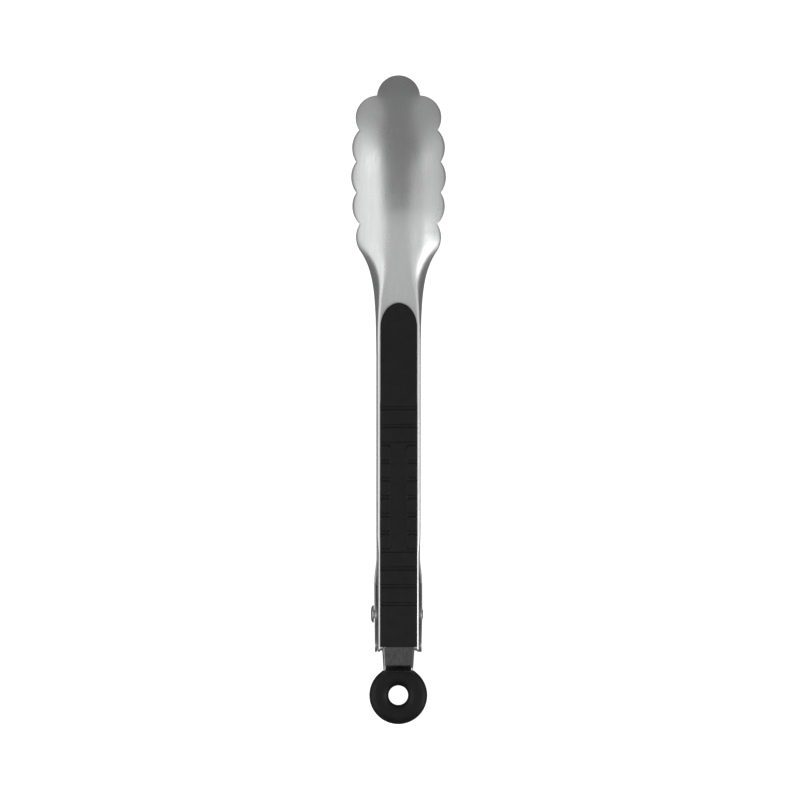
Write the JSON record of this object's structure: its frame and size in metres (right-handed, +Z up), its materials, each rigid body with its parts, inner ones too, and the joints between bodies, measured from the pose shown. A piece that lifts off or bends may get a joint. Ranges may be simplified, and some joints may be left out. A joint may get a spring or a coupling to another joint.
{
  "type": "kitchen tongs",
  "caption": "Spring loaded locking kitchen tongs with scalloped steel heads, grooved soft grips and a pull ring lock; shown closed.",
  "frame": {"origin": "centre of the closed tongs' footprint, on the surface that the lower grip lies on", "axes": "+Y from the pull ring to the head tips, +X across the arms with the rivet's domed head at -X, +Z up out of the upper arm's back"},
  "size_m": [0.0444, 0.305, 0.0349],
  "materials": {
    "brushed_steel": "satin, brushed along the length",
    "spring_steel": "bright drawn wire",
    "core_nylon": "matte moulded",
    "grip_rubber": "matte soft overmould",
    "washer_nylon": "matte moulded",
    "ring_nylon": "matte moulded"
  },
  "bodies": {
    "lower_arm": {"lower_arm": "brushed_steel", "lower_grip_core": "core_nylon", "lower_grip_skin": "grip_rubber", "pivot_rivet": "brushed_steel"},
    "upper_arm": {"upper_arm": "brushed_steel", "upper_grip_core": "core_nylon", "upper_grip_skin": "grip_rubber"},
    "spring_core": {"pivot_sleeve": "brushed_steel", "torsion_spring": "spring_steel", "tab_washer_left": "washer_nylon", "tab_washer_right": "washer_nylon"},
    "lock": {"lock_tab": "brushed_steel", "pull_ring": "ring_nylon"}
  },
  "joints": [
    {"name": "arm_open", "type": "hinge", "parent": "lower_arm", "child": "upper_arm", "pos_m": [0, -0.10065, 0.0125], "axis": [1, 0, 0], "range_deg": [0, 28], "stiffness_Nm_per_rad": 0.47, "springref_deg": 42.97, "deforming": ["torsion_spring"]},
    {"name": "core_turn", "type": "hinge", "parent": "lower_arm", "child": "spring_core", "pos_m": [0, -0.10065, 0.0125], "axis": [1, 0, 0], "range_deg": [0, 14]},
    {"name": "lock_slide", "type": "slide", "parent": "spring_core", "child": "lock", "axis": [0, 0.9997, 0.0262], "range_m": [0, 0.009]}
  ],
  "couplings": [
    {"joint": "core_turn", "follows": "arm_open", "ratio": 0.5}
  ]
}
